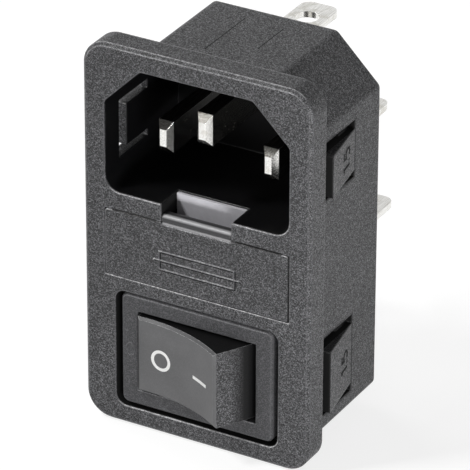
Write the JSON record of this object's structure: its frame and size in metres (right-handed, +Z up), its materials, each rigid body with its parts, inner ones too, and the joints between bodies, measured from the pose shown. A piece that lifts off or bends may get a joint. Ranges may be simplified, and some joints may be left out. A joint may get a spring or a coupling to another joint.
{
  "type": "power entry module with appliance inlet, fuse drawer and rocker switch",
  "caption": "Snap-in panel inlet with three flat pins in a chamfered recess, a pull-out fuse drawer, a two-pole rocker switch and flat tabs behind.",
  "frame": {"origin": "centre of the flange's back plane, where the panel's front face lies", "axes": "+X right seen from the front, +Y into the panel, +Z up along the flange's long side"},
  "size_m": [0.0304, 0.035, 0.0498],
  "materials": {
    "housing_plastic": "grained black moulding",
    "drawer_plastic": "grained black moulding",
    "switch_plastic": "fine-grained black moulding",
    "rocker_plastic": "satin black moulding",
    "carrier_plastic": "smooth light grey moulding",
    "bright_nickel": "bright nickel plate on brass",
    "silver": "silvered copper alloy",
    "spring_steel": "drawn spring wire",
    "fuse_glass": "clear glass",
    "fuse_wire": "tinned copper wire"
  },
  "bodies": {
    "case": {"housing": "housing_plastic", "line_pin": "bright_nickel", "neutral_pin": "bright_nickel", "earth_pin": "bright_nickel", "line_tab": "bright_nickel", "neutral_tab": "bright_nickel", "earth_tab": "bright_nickel", "fuse_contact_in": "bright_nickel", "fuse_contact_out": "bright_nickel", "switch_frame": "switch_plastic", "upper_feed_terminal": "bright_nickel", "upper_load_terminal": "bright_nickel", "lower_feed_terminal": "bright_nickel", "lower_load_terminal": "bright_nickel"},
    "drawer": {"fuse_drawer": "drawer_plastic", "fuse_carrier": "carrier_plastic", "working_fuse_glass_tube": "fuse_glass", "working_fuse_left_cap": "bright_nickel", "working_fuse_right_cap": "bright_nickel", "working_fuse_wire": "fuse_wire", "spare_fuse_glass_tube": "fuse_glass", "spare_fuse_left_cap": "bright_nickel", "spare_fuse_right_cap": "bright_nickel", "spare_fuse_wire": "fuse_wire"},
    "rocker": {"rocker": "rocker_plastic", "upper_plunger": "bright_nickel", "upper_spring": "spring_steel", "lower_plunger": "bright_nickel", "lower_spring": "spring_steel"},
    "upper_contact": {"upper_contact": "silver"},
    "lower_contact": {"lower_contact": "silver"}
  },
  "joints": [
    {"name": "drawer_slide", "type": "slide", "parent": "case", "child": "drawer", "axis": [0, -1, 0], "range_m": [0, 0.012]},
    {"name": "rocker_tilt", "type": "hinge", "parent": "case", "child": "rocker", "pos_m": [0, 0.00006, -0.0146], "axis": [0, 0, 1], "range_deg": [0, 30]},
    {"name": "upper_contact_swing", "type": "hinge", "parent": "case", "child": "upper_contact", "pos_m": [0, 0.00771, -0.01175], "axis": [0, 0, 1], "range_deg": [-24, 0]},
    {"name": "lower_contact_swing", "type": "hinge", "parent": "case", "child": "lower_contact", "pos_m": [0, 0.00771, -0.01745], "axis": [0, 0, 1], "range_deg": [-24, 0]}
  ],
  "couplings": [
    {"joint": "upper_contact_swing", "follows": "rocker_tilt", "ratio": -0.8},
    {"joint": "lower_contact_swing", "follows": "rocker_tilt", "ratio": -0.8}
  ]
}
